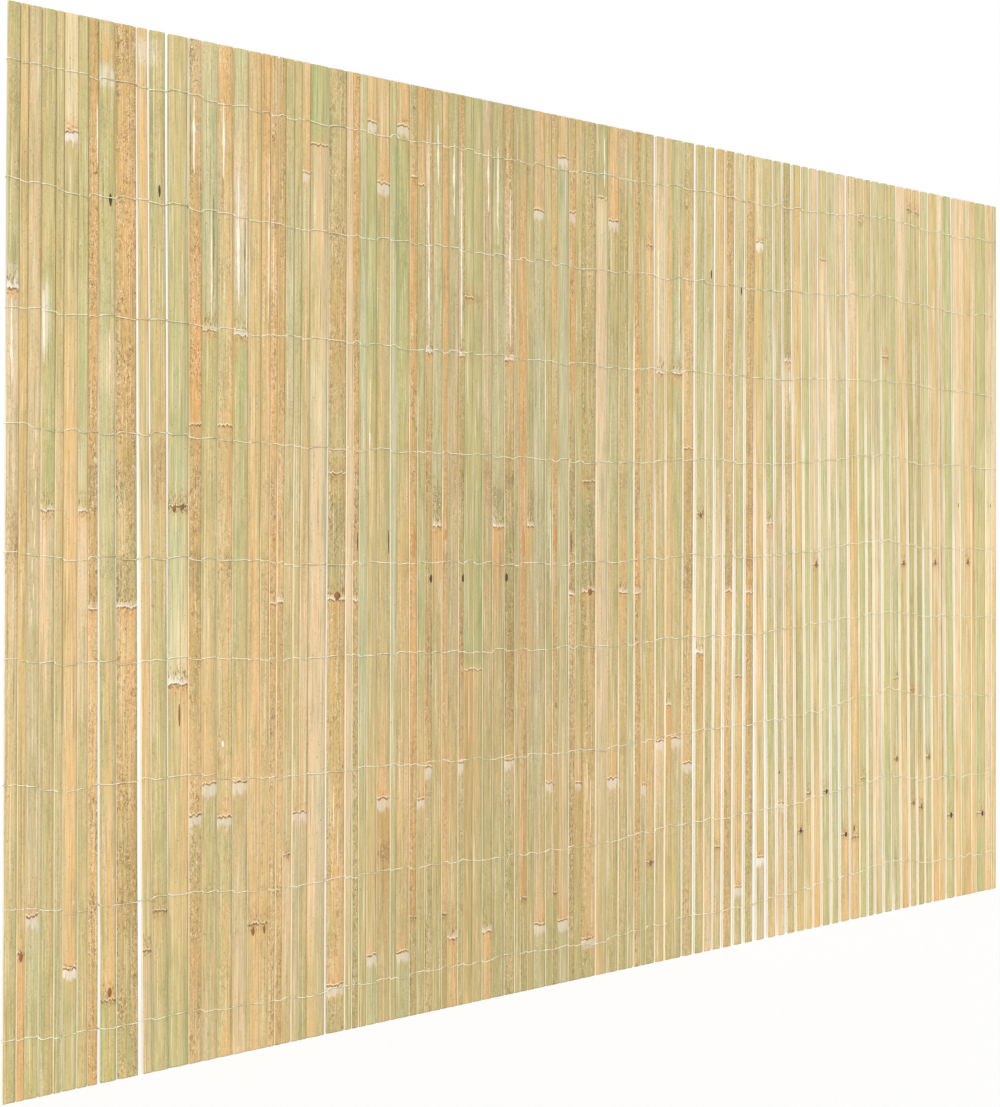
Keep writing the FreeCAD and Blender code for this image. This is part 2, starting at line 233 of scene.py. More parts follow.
def skinMaterial():
    n = Nodes("bambooSkin")
    place = n.read("grain", "Vector")
    mottle = n.read("mottle")
    colour = n.read("tone", "Color")
    fibre = n.grain(place, skin["fibre"], 4.0)
    stripe = n.grain(place, skin["stripe"], 3.0, 0.6)
    broad = n.grain(place, skin["broad"], 2.0)
    cloud = n.grain(place, skin["cloud"], 3.0, 0.6)
    blotch = n.grain(place, skin["blotch"], 5.0, 0.70, 0.7)
    swirl = n.grain(place, skin["swirl"], 2.0, 0.5, 1.6)
    fleck = n.grain(place, skin["fleck"], 3.0, 0.62)
    patch = n.grain(place, skin["patch"], 2.0)

    # lengthwise stripes, from grey green to peach, and slow clouds
    colour = tinted(n, n.ramp(stripe, 0.52, 0.68), colour, (0.83, 0.89, 0.87))
    colour = tinted(n, n.ramp(stripe, 0.48, 0.34), colour, (1.10, 1.00, 0.92))
    colour = tinted(n, n.ramp(broad, 0.50, 0.64), colour, (0.89, 0.96, 0.93))
    colour = tinted(n, n.ramp(broad, 0.50, 0.38), colour, (1.05, 0.98, 0.93))
    colour = tinted(n, n.ramp(cloud, 0.50, 0.66), colour, (0.90, 0.91, 0.86))
    colour = tinted(n, n.ramp(cloud, 0.50, 0.34), colour, (1.06, 1.01, 1.00))
    colour = tinted(n, n.ramp(fibre, 0.45, 0.66), colour, (0.86, 0.85, 0.80))
    colour = tinted(n, n.ramp(fibre, 0.45, 0.30), colour, (1.10, 1.10, 1.12))
    thread = n.grain(place, (0.95, 0.010, 12.1), 2.0)
    colour = n.blend(n.ramp(thread, 0.59, 0.67, 0.0, 0.50), colour, screenColour((138, 122, 72)))
    colour = n.blend(n.ramp(thread, 0.41, 0.34, 0.0, 0.60), colour, screenColour((243, 230, 200)))

    # painted shade: the rounded borders are greyer and darker, as they turn away from the light
    borderShade = n.sum("ADD", n.sum("ABSOLUTE", n.read("across")), n.ramp(broad, 0.3, 0.7, -0.12, 0.12))
    colour = tinted(n, n.ramp(borderShade, 0.60, 1.02, 0.0, 0.9), colour, (0.78, 0.83, 0.80))

    # mottling: winding brown veins with painted highlights beside them, blotches, flecks and specks
    where = n.ramp(patch, 0.36, 0.62, 0.35, 1.25)
    amount = n.sum("MULTIPLY", n.sum("ADD", mottle, 0.06), where, clamp=True)
    colour = tinted(n, n.sum("MULTIPLY", mottle, 0.5), colour, (1.05, 0.96, 0.86))
    dark = n.sum("MULTIPLY", n.ramp(blotch, 0.50, 0.62), amount, clamp=True)
    colour = tinted(n, dark, colour, (0.60, 0.50, 0.34))
    colour = tinted(n, n.sum("MULTIPLY", contour(n, swirl, 0.49, 0.035), amount, clamp=True), colour, (0.60, 0.50, 0.36))
    # painted highlight: a pale winding line beside each vein, where a lit ridge would be
    glint = n.sum("MULTIPLY", contour(n, swirl, 0.55, 0.030), n.sum("MULTIPLY", amount, 0.8), clamp=True)
    colour = n.blend(glint, colour, screenColour((247, 219, 178)))
    pale = n.sum("MULTIPLY", n.ramp(fleck, 0.55, 0.66), n.sum("MULTIPLY", amount, 0.6), clamp=True)
    colour = n.blend(pale, colour, screenColour((240, 204, 158)))
    speckNoise = n.grain(place, (0.9, 0.40, 2.3), 3.0, 0.6)
    colour = n.blend(n.ramp(speckNoise, 0.635, 0.70, 0.0, 0.80), colour, screenColour((118, 97, 52)))
    scuff = n.grain(place, (0.35, 0.05, 17.9), 4.0, 0.7)
    colour = n.blend(n.ramp(scuff, 0.62, 0.76, 0.0, 0.5), colour, screenColour((238, 223, 194)))

    # rings: a pale band over or under them, scorched patches, dark flecks, a broken dark line and a painted highlight
    # on the ridge over it
    soft = n.grain(place, (0.26, 0.055, 6.4), 3.0, 0.6)
    gap = n.sum("ADD", n.read("ringGap"), n.ramp(n.grain(place, (0.30, 0.05, 4.1), 2.0), 0.25, 0.75, -1.5, 1.5))
    under = n.sum("MULTIPLY", gap, -1.0)
    nearRing = n.sum("ABSOLUTE", gap)
    edge = n.ramp(soft, 0.3, 0.7, -4.5, 4.5)
    scorchNoise = n.grain(place, (0.40, 0.26, 3.3), 4.0, 0.65)
    stain = n.sum("MULTIPLY", n.ramp(nearRing, 1.0, 30.0, 0.35, 0.0), n.ramp(soft, 0.35, 0.55))
    colour = n.blend(stain, colour, screenColour((218, 170, 108)))
    bands = (("paleOver", gap, under, 0.80, 3.0, 8.0), ("paleUnder", under, gap, 0.88, 6.5, 14.0))
    for name, distance, other, strength, solid, end in bands:
        far = n.sum("ADD", distance, edge)
        band = n.sum("MULTIPLY", n.ramp(distance, 0.5, 1.2), n.ramp(far, solid, end, strength, 0.0))
        band = n.sum("MULTIPLY", band, n.ramp(n.grain(place, (0.9, 0.05, 8.4), 3.0, 0.6), 0.3, 0.55, 0.55, 1.0))
        colour = n.blend(n.sum("MULTIPLY", band, n.read(name)), colour, screenColour((238, 231, 220)))
        reach = n.sum("MULTIPLY", n.ramp(other, 0.4, 1.4), n.ramp(n.sum("ADD", other, edge), 4.0, 10.0, 1.0, 0.0))
        reach = n.sum("MULTIPLY", reach, n.read(name))
        colour = n.blend(n.sum("MULTIPLY", reach, 0.35), colour, screenColour((236, 192, 134)))
        scorch = n.sum("MULTIPLY", n.ramp(scorchNoise, 0.49, 0.57), reach)
        colour = n.blend(n.sum("MULTIPLY", scorch, 0.75), colour, screenColour((158, 104, 54)))
    fringeNoise = n.grain(place, (0.62, 0.20, 8.9), 3.0, 0.7)
    reach = n.sum("MULTIPLY", n.ramp(gap, 3.0, 7.0), n.ramp(gap, 8.0, 26.0, 1.0, 0.0))
    fringe = n.sum("MULTIPLY", n.ramp(fringeNoise, 0.51, 0.59), n.sum("MULTIPLY", reach, n.read("fringed")))
    colour = n.blend(n.sum("MULTIPLY", fringe, 0.85), colour, screenColour((122, 110, 60)))
    dashes = n.ramp(n.grain(place, (0.62, 0.02, 15.3), 2.0), 0.42, 0.52, 0.25, 1.0)
    line = n.sum("MULTIPLY", n.ramp(nearRing, 0.6, 1.3, 0.85, 0.0), n.sum("MULTIPLY", dashes, n.read("ringShare")))
    colour = n.blend(line, colour, screenColour((132, 92, 50)))
    # painted highlight: a thin pale line along the top of the ring's ridge
    ridgeHighlight = n.sum("MULTIPLY", n.ramp(gap, 1.1, 1.5), n.ramp(gap, 1.9, 2.4, 0.85, 0.0))
    colour = n.blend(n.sum("MULTIPLY", ridgeHighlight, n.read("ringShare")), colour, screenColour((248, 238, 212)))
    dots = n.sum("MULTIPLY", n.ramp(n.grain(place, (0.62, 0.36, 3.9), 3.0, 0.7), 0.50, 0.57), n.read("knotty"))
    dots = n.sum("MULTIPLY", dots, n.ramp(nearRing, 2.5, 9.0, 0.95, 0.0))
    colour = n.blend(dots, colour, screenColour((112, 80, 40)))

    rough = n.ramp(fibre, 0.3, 0.7, *skin["gloss"])
    bumps = n.sum("ADD", fibre, n.sum("MULTIPLY", n.sum("ADD", blotch, swirl), mottle))
    return n.finishWith(colour, rough, bumps, skin["grainDepth"])


def splitMaterial(name, dull, fresh, tint, gloss):
    # split wood: long pale fibres, here dull, there fresh, with painted shade that dulls them towards the head, and a
    # little of the slat's own colour
    n = Nodes(name)
    place = n.read("grain", "Vector")
    fibres = n.grain(place, (2.6, 0.030, 5.7), 4.0, 0.6)
    height = n.add("ShaderNodeSeparateXYZ", {0: place}).outputs["Y"]
    # painted shade: the height ramp makes the split sides duller and darker towards the head and fresher near the foot;
    # the noise gives real dull and fresh patches
    freshnessAndShade = n.sum("ADD", n.grain(place, (0.02, 0.0035, 3.1), 2.0), n.ramp(height, 350.0, 950.0, 0.12, -0.16))
    colour = n.blend(n.ramp(freshnessAndShade, 0.38, 0.60), screenColour(dull), screenColour(fresh))
    colour = n.blend(tint, colour, n.read("tone", "Color"))
    colour = tinted(n, n.ramp(fibres, 0.50, 0.70), colour, (0.88, 0.86, 0.82))
    colour = tinted(n, n.ramp(fibres, 0.50, 0.30), colour, (1.05, 1.05, 1.05))
    drift = n.ramp(n.grain(place, (0.25, 0.008, 1.9), 2.0), 0.35, 0.65, 0.0, 0.5)
    colour = tinted(n, drift, colour, (1.0, 0.93, 0.88))
    return n.finishWith(colour, gloss, fibres, 0.0003)


def endMaterial():
    # sawn ends: dark vessel dots in pale wood
    n = Nodes("bambooEnd")
    place = n.add("ShaderNodeTexCoord").outputs["Object"]
    cells = n.add("ShaderNodeTexVoronoi", {"Vector": place, "Scale": 1500.0}).outputs["Distance"]
    colour = n.blend(0.35, screenColour((226, 205, 165)), n.read("tone", "Color"))
    colour = n.blend(n.ramp(cells, 0.16, 0.30, 0.6, 0.0), colour, screenColour((150, 118, 76)))
    rough = n.grain(place, (900.0, 900.0, 900.0), 3.0)
    return n.finishWith(colour, 0.8, rough, 0.0003)


def markMaterial():
    n = Nodes("bambooMark")
    place = n.read("grain", "Vector")
    fibres = n.grain(place, (2.2, 0.25, 5.7), 4.0, 0.6)
    light = n.ramp(fibres, 0.30, 0.70, 0.80, 1.15)
    lightness = n.add("ShaderNodeCombineColor", {0: light, 1: light, 2: light}).outputs[0]
    colour = n.blend(1.0, n.read("tone", "Color"), lightness, "MULTIPLY")
    return n.finishWith(colour, 0.7, fibres, 0.0003)


def wireMaterial():
    # zinc gone dull and chalky
    n = Nodes("wireZinc")
    place = n.add("ShaderNodeTexCoord").outputs["Object"]
    bloom = n.grain(place, (420.0, 420.0, 420.0), 4.0, 0.6)
    colour = n.blend(n.ramp(bloom, 0.35, 0.65), screenColour((232, 226, 196)), screenColour((253, 249, 230)))
    dull = n.grain(place, (70.0, 70.0, 70.0), 2.0)
    colour = n.blend(n.ramp(dull, 0.48, 0.60, 0.0, 0.75), colour, screenColour((196, 188, 140)))
    return n.finishWith(colour, n.ramp(bloom, 0.3, 0.7, 0.32, 0.55), bloom, 0.00008)


slatMaterials = [
    skinMaterial(),
    splitMaterial("bambooSplit", (224, 204, 158), (255, 248, 226), 0.20, 0.75),
    splitMaterial("bambooBack", (224, 202, 158), (240, 222, 184), 0.45, 0.7),
    endMaterial(),
    markMaterial(),
]
wireZinc = wireMaterial()
print("materials made")



slat = {
    "culmRadius": 45 * mm,
    "thickness": 5 * mm,
    "chamfer": 0.16 * mm,
    "frontColumns": [-1.0, -0.93, -0.74, -0.48, -0.2, 0.08, 0.34, 0.6, 0.82, 0.95, 1.0],
    "rowStep": 22.0,
    "edgeWander": 0.18 * mm,   # the most that an edge stands inside its straight line
    "bow": 0.8 * mm,
    "twist": 0.035,            # most turn about its own length, in radians
    "endRoughness": 0.22 * mm,
    "ringRows": (-17, -10, -6, -3.6, -2.2, -1.1, -0.35, 0.35, 1.1, 2.2, 3.6, 6, 10, 17),
    "ringHeights": (0, 0, 0.02, 0.10, 0.40, 0.52, 0.34, 0.02, 0.20, 0.46, 0.40, 0.14, 0.03, 0),
}
boldRings = {1, 6, 13, 67, 73}   # slats whose pale bands are the clearest
kinds = {"!": "paleUnder", "^": "paleOver", "*": "knotty", "|": None}


def slatPlaces(node):
    # where a node's slats stand: front edges at foot and head, and the heights of the rings
    bm = bmesh.new()
    bm.from_mesh(node.data)
    bmesh.ops.remove_doubles(bm, verts=bm.verts, dist=0.001 * mm)
    left = set(bm.verts)
    places = []
    while left:
        island, edge = set(), [left.pop()]
        while edge:
            vert = edge.pop()
            island.add(vert)
            for link in vert.link_edges:
                other = link.other_vert(vert)
                if other in left:
                    left.discard(other)
                    edge.append(other)
        foot = [v.co.x for v in island if v.co.z < 3 * mm]
        head = [v.co.x for v in island if v.co.z > 997 * mm]
        ridge = sorted(v.co.z / mm for v in island if v.co.y < -slat["thickness"] / 2 - 0.15 * mm)
        rings = []
        for height in ridge:
            if not rings or height - rings[-1][0] > 8:
                rings.append([height])
            rings[-1].append(height)
        places.append({
            "foot": (min(foot), max(foot)), "head": (min(head), max(head)),
            "rings": [sum(heights) / len(heights) for heights in rings],
        })
    bm.free()
    return sorted(places, key=lambda place: place["foot"][0])


def readLook(text):
    # splits a slat's line of the table into tones between rings, kinds of ring and mottling
    parts, ringKinds = [""], []
    for letter in text[:-1]:
        if letter in kinds:
            ringKinds.append(letter)
            parts.append("")
        else:
            parts[-1] += letter
    return parts, ringKinds, int(text[-1]) / 5


def toneAt(letters, share):
    spot = min(max(share, 0.0), 1.0) * (len(letters) - 1)
    first = min(int(spot), len(letters) - 1)
    second = min(first + 1, len(letters) - 1)
    part = spot - first
    return toneColours[letters[first]].lerp(toneColours[letters[second]], part * part * (3 - 2 * part))


def startTube(bm, columns, rows):
    # a closed tube on a plain grid: x counts its columns and z its rows, ready to be shaped
    verts = [bm.verts.new((column, 0, 0)) for column in range(columns)]
    edges = [bm.edges.new((verts[column - 1], verts[column])) for column in range(columns)]
    bmesh.ops.spin(bm, geom=verts + edges, axis=(0, 0, 1), dvec=(0, 0, 1), angle=0, steps=rows - 1)
    seen, edge = set(verts), list(verts)
    while edge:
        for link in edge.pop().link_edges:
            for vert in link.verts:
                if vert not in seen:
                    seen.add(vert)
                    edge.append(vert)
    return seen


def slatSection(width):
    # the outline of a slat, from the middle of its back round its left side, and how far round each point is
    half, depth = width / 2, slat["thickness"]
    radius, chamfer = slat["culmRadius"], slat["chamfer"]
    back = half * (1 - depth / radius)
    points = [(0.02 * half, depth), (-0.6 * back, depth), (-back + chamfer, depth), (-back, depth - chamfer)]
    points += [(-half * (1 - 0.55 * depth / radius), 0.55 * depth)]
    for column in slat["frontColumns"]:
        across = column * half
        crown = radius - math.sqrt(radius * radius - across * across)
        if abs(column) == 1.0:
            points.append((across, crown + chamfer))
        else:
            points.append((column * (half - chamfer), crown))
    points += [(half * (1 - 0.55 * depth / radius), 0.55 * depth)]
    points += [(back, depth - chamfer), (back - chamfer, depth), (0.6 * back, depth)]
    around = [0.0]
    for start, end in zip(points, points[1:] + points[:1]):
        around.append(around[-1] + math.dist(start, end) / mm)
    return points, around


def slatRows(number, rings):
    # heights of a slat's rows of points, closer together at its ends, rings and patches
    rows = [0.0, 1.4, 5.0]
    height = slat["rowStep"]
    while height < 990:
        if all(abs(height - ring) > 24 for ring in rings):
            rows.append(height)
        height += slat["rowStep"]
    rows += [995.0, 998.6, 1000.0]
    for ring in rings:
        rows += [ring + gap for gap in slat["ringRows"] if 6 < ring + gap < 994]
    for owner, middle, reach, *rest in patches:
        if owner == number:
            steps = [middle + reach * part for part in (-1.25, -0.8, -0.3, 0.3, 0.8, 1.25)]
            rows += [step for step in steps if 6 < step < 994 and all(abs(step - ring) > 17 for ring in rings)]
    rows.sort()
    return [row for number, row in enumerate(rows) if number == 0 or row - rows[number - 1] > 0.3]


def ringSwelling(height, rings):
    for ring in rings:
        for low, high, start, end in zip(slat["ringRows"], slat["ringRows"][1:], slat["ringHeights"], slat["ringHeights"][1:]):
            if low <= height - ring <= high:
                return (start + (end - start) * (height - ring - low) / (high - low)) * mm
    return 0.0


def wobble(*spot):
    return noise.noise(Vector(spot))


def slatFrame(place, height):
    # a slat's middle and width at a height, with its lean and the bow that it shares with its neighbours
    share = height / 1000
    left = place["foot"][0] + (place["head"][0] - place["foot"][0]) * share
    right = place["foot"][1] + (place["head"][1] - place["foot"][1]) * share
    middle = (left + right) / 2
    bow = slat["bow"] * wobble(middle / mm / 90, height / 320, 4.2) * min(1.0, height / 120, (1000 - height) / 120)
    return middle + bow, right - left


def addSlat(bm, number, place):
    rng = random.Random(700 + number)
    parts, ringKinds, mottle = readLook(looks[number - 1])
    rings = place["rings"]
    if len(rings) != len(ringKinds):
        raise RuntimeError(f"slat {number} has {len(rings)} rings and {len(ringKinds)} in its look")
    width = slatFrame(place, 500)[1]
    points, around = slatSection(width)
    rows = slatRows(number, rings)
    twist = rng.uniform(-1, 1) * slat["twist"]
    seed = number * 3.17
    verts = startTube(bm, len(points), len(rows))
    spots = {}
    for vert in verts:
        column, row = round(vert.co.x), round(vert.co.z)
        spots[vert] = (column, row)
        across, depth = points[column]
        height = rows[row]
        middle = slatFrame(place, height)[0]
        side = 1 if across > 0 else -1
        inset = slat["edgeWander"] * (0.5 + 0.5 * wobble(height / 130, side * 3.3, seed)) + 0.06 * mm * wobble(height / 9, side, seed)
        across -= side * inset * min(1.0, abs(across) / (width / 2) * 1.1)
        front = max(0.0, 1 - depth / (1.2 * mm))
        depth -= ringSwelling(height + 0.7 * wobble(across / mm / 3, seed, 0.5), rings) * front
        depth += 0.06 * mm * wobble(across / mm * 0.9, height / 60, seed) * front
        rise = slat["endRoughness"] * wobble(across / mm * 1.3, depth / mm * 0.9, seed + row)
        if 0 < row < len(rows) - 1:
            rise = 0.45 * wobble(across / mm / 4, seed, 9.1) * mm if front else 0.0
        elif row == 0:
            rise = abs(rise)
        else:
            rise = -abs(rise)
        y = depth - slat["thickness"] / 2
        vert.co = (middle + across * math.cos(twist) - y * math.sin(twist), y + across * math.sin(twist), height * mm + rise)
    ends = [edge for vert in verts for edge in vert.link_edges if edge.is_boundary]
    bmesh.ops.holes_fill(bm, edges=list(set(ends)), sides=0)
    faces = list({face for vert in verts for face in vert.link_faces})
    bmesh.ops.recalc_face_normals(bm, faces=faces)
    sides = [across / (width / 2) for across, depth in points]
    paintSlat(bm, number, faces, spots, rows, around, sides, parts, ringKinds, rings, mottle, seed)
    addMarks(bm, number, place, points, seed)


def patched(tone, height, side, own):
    # a tone with the slat's soft patches over it
    for owner, middle, reach, where, letter, strength in own:
        share = strength / 9 * min(1.0, 2.4 * max(0.0, 1 - abs(height - middle) / (reach * 1.25)))
        share *= 0.5 if letter in "en" else 0.75
        if where:
            share *= min(1.0, max(0.0, 0.5 + 0.9 * side * where))
        tone = tone.lerp(toneColours[letter], share)
    return tone


def stirred(height, side, own):
    # dark patches are flecked too
    dark = [patch for patch in own if patch[4] in "en"]
    return max([1.15 * patch[5] / 9 * max(0.0, 1 - abs(height - patch[1]) / (patch[2] * 1.6)) ** 0.5 for patch in dark], default=0.0)


def shadeZone(number, height):
    # the middle of the panel is the darkest, a little below half height
    return math.exp(-((number - 44) / 9) ** 2 - ((height - 430) / 190) ** 2)


def paintSlat(bm, number, faces, spots, rows, around, sides, parts, ringKinds, rings, mottle, seed):
    # writes what the materials read: tone, place in the grain, mottling and the nearest ring
    columns = len(around) - 1
    stops = [0.0] + rings + [1000.0]
    bold = 1.0 if number in boldRings else 0.55
    light = lightnessAt(number)
    own = [patch for patch in patches if patch[0] == number]
    for face in faces:
        if len(face.verts) > 4:
            face.material_index = 3
        elif face.normal.y < -0.55:
            face.material_index = 0
        elif face.normal.y > 0.75:
            face.material_index = 2
        else:
            face.material_index = 1
        face.smooth = face.material_index != 3
        middle = sum(rows[spots[vert][1]] for vert in face.verts) / len(face.verts)
        part = sum(ring < middle for ring in rings)
        closing = {spots[vert][0] for vert in face.verts} == {0, columns - 1}
        ring = min(range(len(rings)), key=lambda index: abs(rings[index] - middle), default=None)
        kind = kinds[ringKinds[ring]] if rings else None
        for loop in face.loops:
            column, row = spots[loop.vert]
            height = rows[row]
            low, high = stops[part], stops[part + 1]
            tone = toneAt(parts[part], (height - low) / (high - low))
            tone = patched(tone, height + 5 * wobble(sides[column] * 2.3, seed, 7.7), sides[column], own)
            tone = tone * (light - 0.07 * shadeZone(number, height))
            loop[bm.loops.layers.float_color["tone"]] = (*tone, 1.0)
            turned = around[columns] if closing and column == 0 else around[column]
            loop[bm.loops.layers.float_vector["grain"]] = (turned, height, seed)
            loop[bm.loops.layers.float["mottle"]] = max(mottle, stirred(height, sides[column], own))
            loop[bm.loops.layers.float["ringGap"]] = height - rings[ring] if rings else 900.0
            loop[bm.loops.layers.float["ringShare"]] = 1.0 if rings else 0.0
            loop[bm.loops.layers.float["across"]] = sides[column]
            loop[bm.loops.layers.float["fringed"]] = {"paleOver": 1.0, "knotty": 0.6}.get(kind, 0.15)
            for name in ("paleOver", "paleUnder", "knotty"):
                loop[bm.loops.layers.float[name]] = bold if kind == name else 0.0


def addMarks(bm, number, place, points, seed):
    # slivers, scars and knots: low lens-shaped strips, tapered at both ends and sunk into the slat
    tone = bm.loops.layers.float_color["tone"]
    grain = bm.loops.layers.float_vector["grain"]
    for index, (owner, middle, length, across, width, colour) in enumerate(marks):
        if owner != number:
            continue
        rows = 5 if length < 14 else 11 if length < 40 else 25
        verts = startTube(bm, 6, rows)
        half = slatFrame(place, middle)[1] / 2
        shape = [(-1, 0.15), (-0.45, -0.75), (0.45, -0.75), (1, 0.15), (0.4, 1), (-0.4, 1)]
        spots = {}
        for vert in verts:
            column, row = round(vert.co.x), round(vert.co.z)
            share = row / (rows - 1)
            height = middle + length * (share - 0.5)
            plump = math.sin(math.pi * (0.04 + 0.92 * share)) ** 0.6
            if length >= 40:
                plump *= 0.75 + 0.7 * wobble(height / 11, index * 1.7, 3.3)
            side, deep = shape[column]
            reach = across * half * 0.86 + side * width / 2 * mm * plump * (1 + 0.35 * wobble(height / 5, side, index))
            reach += 0.7 * mm * wobble(height / 26, index, 2.2)
            reach = max(-half + 0.5 * mm, min(half - 0.5 * mm, reach))
            crown = slat["culmRadius"] - math.sqrt(slat["culmRadius"] ** 2 - reach ** 2)
            lift = 0.34 * mm * plump * deep
            spots[vert] = (side, height)
            vert.co = (slatFrame(place, height)[0] + reach, crown - slat["thickness"] / 2 + lift - 0.06 * mm - ringSwelling(height, place["rings"]), height * mm)
        ends = {edge for vert in verts for edge in vert.link_edges if edge.is_boundary}
        bmesh.ops.holes_fill(bm, edges=list(ends), sides=0)
        faces = list({face for vert in verts for face in vert.link_faces})
        bmesh.ops.recalc_face_normals(bm, faces=faces)
        rgb = screenColour(markColours[colour] if colour in markColours else tones[colour])
        for face in faces:
            face.material_index = 4
            face.smooth = True
            for loop in face.loops:
                side, height = spots[loop.vert]
                loop[tone] = rgb
                loop[grain] = (side * width, height, seed + index)


def makePair(node, first):
    bm = bmesh.new()
    bm.loops.layers.float_color.new("tone")
    bm.loops.layers.float_vector.new("grain")
    for name in ("mottle", "across", "ringGap", "ringShare", "paleOver", "paleUnder", "knotty", "fringed"):
        bm.loops.layers.float.new(name)
    places = slatPlaces(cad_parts[node])
    for step, place in enumerate(places):
        addSlat(bm, first + step, place)
    mesh = bpy.data.meshes.new(node)
    bm.to_mesh(mesh)
    bm.free()
    for material in slatMaterials:
        mesh.materials.append(material)
    piece = bpy.data.objects.new(f"slats{first:03d}", mesh)
    bpy.context.scene.collection.objects.link(piece)
    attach(piece, "root")
    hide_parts(node)
    return places


allSlats = []
for number in range(1, 52):
    allSlats += makePair(f"slat_pair_{number:02d}", 2 * number - 1)
print("slats made:", len(allSlats))



lacing = {
    "radius": 0.46 * mm,
    "clearance": 0.04 * mm,
    "slant": 2.6,       # most rise or fall of a stitch across its slat, in mm
    "wander": 2.2,      # how far a row strays from the CAD wire's course, in mm
    "jitter": 2.2,      # how far neighbouring stitches differ in height, in mm
    "tailTurns": 3,
    "tailLength": 11 * mm,
}


def rowCourse(node):
    # the course of a CAD wire: its bends, as places along the panel and heights
    bends = []
    for x, z in sorted((v.co.x, v.co.z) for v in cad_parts[node].data.vertices if v.co.y < -slat["thickness"] / 2):
        if not bends or x - bends[-1][0][0] > 4 * mm:
            bends.append(([], []))
            bends[-1][0].append(x)
        else:
            bends[-1][0].append(x)
        bends[-1][1].append(z)
    return [(sum(xs) / len(xs), (min(zs) + max(zs)) / 2 / mm) for xs, zs in bends]


def courseHeight(course, x):
    for (x0, z0), (x1, z1) in zip(course, course[1:]):
        if x <= x1:
            break
    share = min(max((x - x0) / (x1 - x0), 0.0), 1.0)
    return z0 + (z1 - z0) * share


def stitchPoints(row, course):
    # both strands of a row, swapping sides with a half twist in every gap
    rng = random.Random(40 + row)
    out = slat["thickness"] / 2 + lacing["radius"] + lacing["clearance"]
    strands = [[], []]
    for index, place in enumerate(allSlats):
        middle = slatFrame(place, course[0][1])[0]
        height = courseHeight(course, middle) + lacing["wander"] * wobble(index / 5, row * 2.7, 0.3)
        height += rng.uniform(-1, 1) * lacing["jitter"]
        middle, width = slatFrame(place, height)
        slant = rng.uniform(-1, 1) * lacing["slant"]
        for strand, points in enumerate(strands):
            side = -1 if (index + strand) % 2 == 0 else 1
            tilt = slant if side < 0 else -slant
            for share in (-0.36, 0.0, 0.36):
                points.append(Vector((middle + share * width, side * out, (height + tilt * share) * mm)))
            if index < len(allSlats) - 1:
                following, breadth = slatFrame(allSlats[index + 1], height)
                gap = (middle + width / 2 + following - breadth / 2) / 2
                lift = lacing["radius"] * (1.05 if strand == 0 else -1.05)
                points.append(Vector((gap - 0.2 * mm, side * out * 0.45, height * mm + lift)))
                points.append(Vector((gap + 0.2 * mm, -side * out * 0.45, height * mm + lift)))
    return strands, out


def endLoop(place, level, side, start, finish, out):
    # round the outer edge of an end slat, from one face to the other
    middle, width = slatFrame(place, level)
    reach = middle + side * (width / 2 + lacing["radius"] * 1.1)
    return [Vector((reach, start * out * 0.7, level * mm)), Vector((reach, 0, level * mm)), Vector((reach, finish * out * 0.7, level * mm))]


def tail(place, level, out, phase):
    # the two ends twisted together and laid along the back of the first slat
    middle, width = slatFrame(place, level)
    points = []
    steps = lacing["tailTurns"] * 6
    for step in range(steps + 1):
        angle = 2 * math.pi * step / 6 + phase
        share = step / steps
        turn = lacing["radius"] * 1.02 * min(1.0, 0.2 + share * 4)
        points.append(Vector((
            middle - 0.32 * width + math.cos(angle) * turn * 0.9,
            out + lacing["radius"] * 1.2 + math.sin(angle) * turn,
            level * mm - 1.2 * mm - share * lacing["tailLength"],
        )))
    return points


def makeLacing(row):
    node = f"lacing_wire_{row}"
    course = rowCourse(node)
    (first, second), out = stitchPoints(row, course)
    startSide = 1 if first[0].y > 0 else -1
    endSide = 1 if first[-1].y > 0 else -1
    around = endLoop(allSlats[-1], first[-1].z / mm, 1, endSide, -endSide, out)
    firstLevel = first[0].z / mm
    wrap = endLoop(allSlats[0], firstLevel, -1, startSide, -startSide, out)
    backTail = tail(allSlats[0], firstLevel, out, 0.0)
    frontTail = tail(allSlats[0], firstLevel, out, math.pi)
    backFirst = list(reversed(backTail)) if startSide > 0 else list(reversed(backTail)) + list(reversed(wrap))
    run = backFirst + first + around + list(reversed(second))
    run += frontTail if startSide < 0 else list(reversed(wrap)) + frontTail
    curve = bpy.data.curves.new(node, "CURVE")
    curve.dimensions = "3D"
    curve.bevel_depth = lacing["radius"]
    curve.bevel_resolution = 1
    curve.resolution_u = 2
    curve.use_fill_caps = True
    spline = curve.splines.new("NURBS")
    spline.points.add(len(run) - 1)
    for point, place in zip(spline.points, run):
        point.co = (*place, 1.0)
    spline.order_u = 3
    spline.use_endpoint_u = True
    source = bpy.data.objects.new(node + "Route", curve)
    bpy.context.scene.collection.objects.link(source)
    mesh = bpy.data.meshes.new_from_object(source.evaluated_get(bpy.context.evaluated_depsgraph_get()))
    bpy.data.objects.remove(source)
    mesh.materials.clear()
    mesh.materials.append(wireZinc)
    mesh.shade_smooth()
    piece = bpy.data.objects.new(f"lacing{row}", mesh)
    bpy.context.scene.collection.objects.link(piece)
    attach(piece, "root")
    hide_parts(node)


for row in range(1, 10):
    makeLacing(row)
print("lacing made")



studio = {
    "floorSize": 60.0,
    "keyStrength": 2.12,
    "keyAngle": 14.0,
    "fillStrength": 0.9,
    "worldStrength": 0.5,
    "cameraPlace": (-1.326, -1.4523, 0.5157),
    "cameraTurn": (90.518, -0.156, -38.345),
    "lens": 53.703,
    "shift": -0.03037,
}


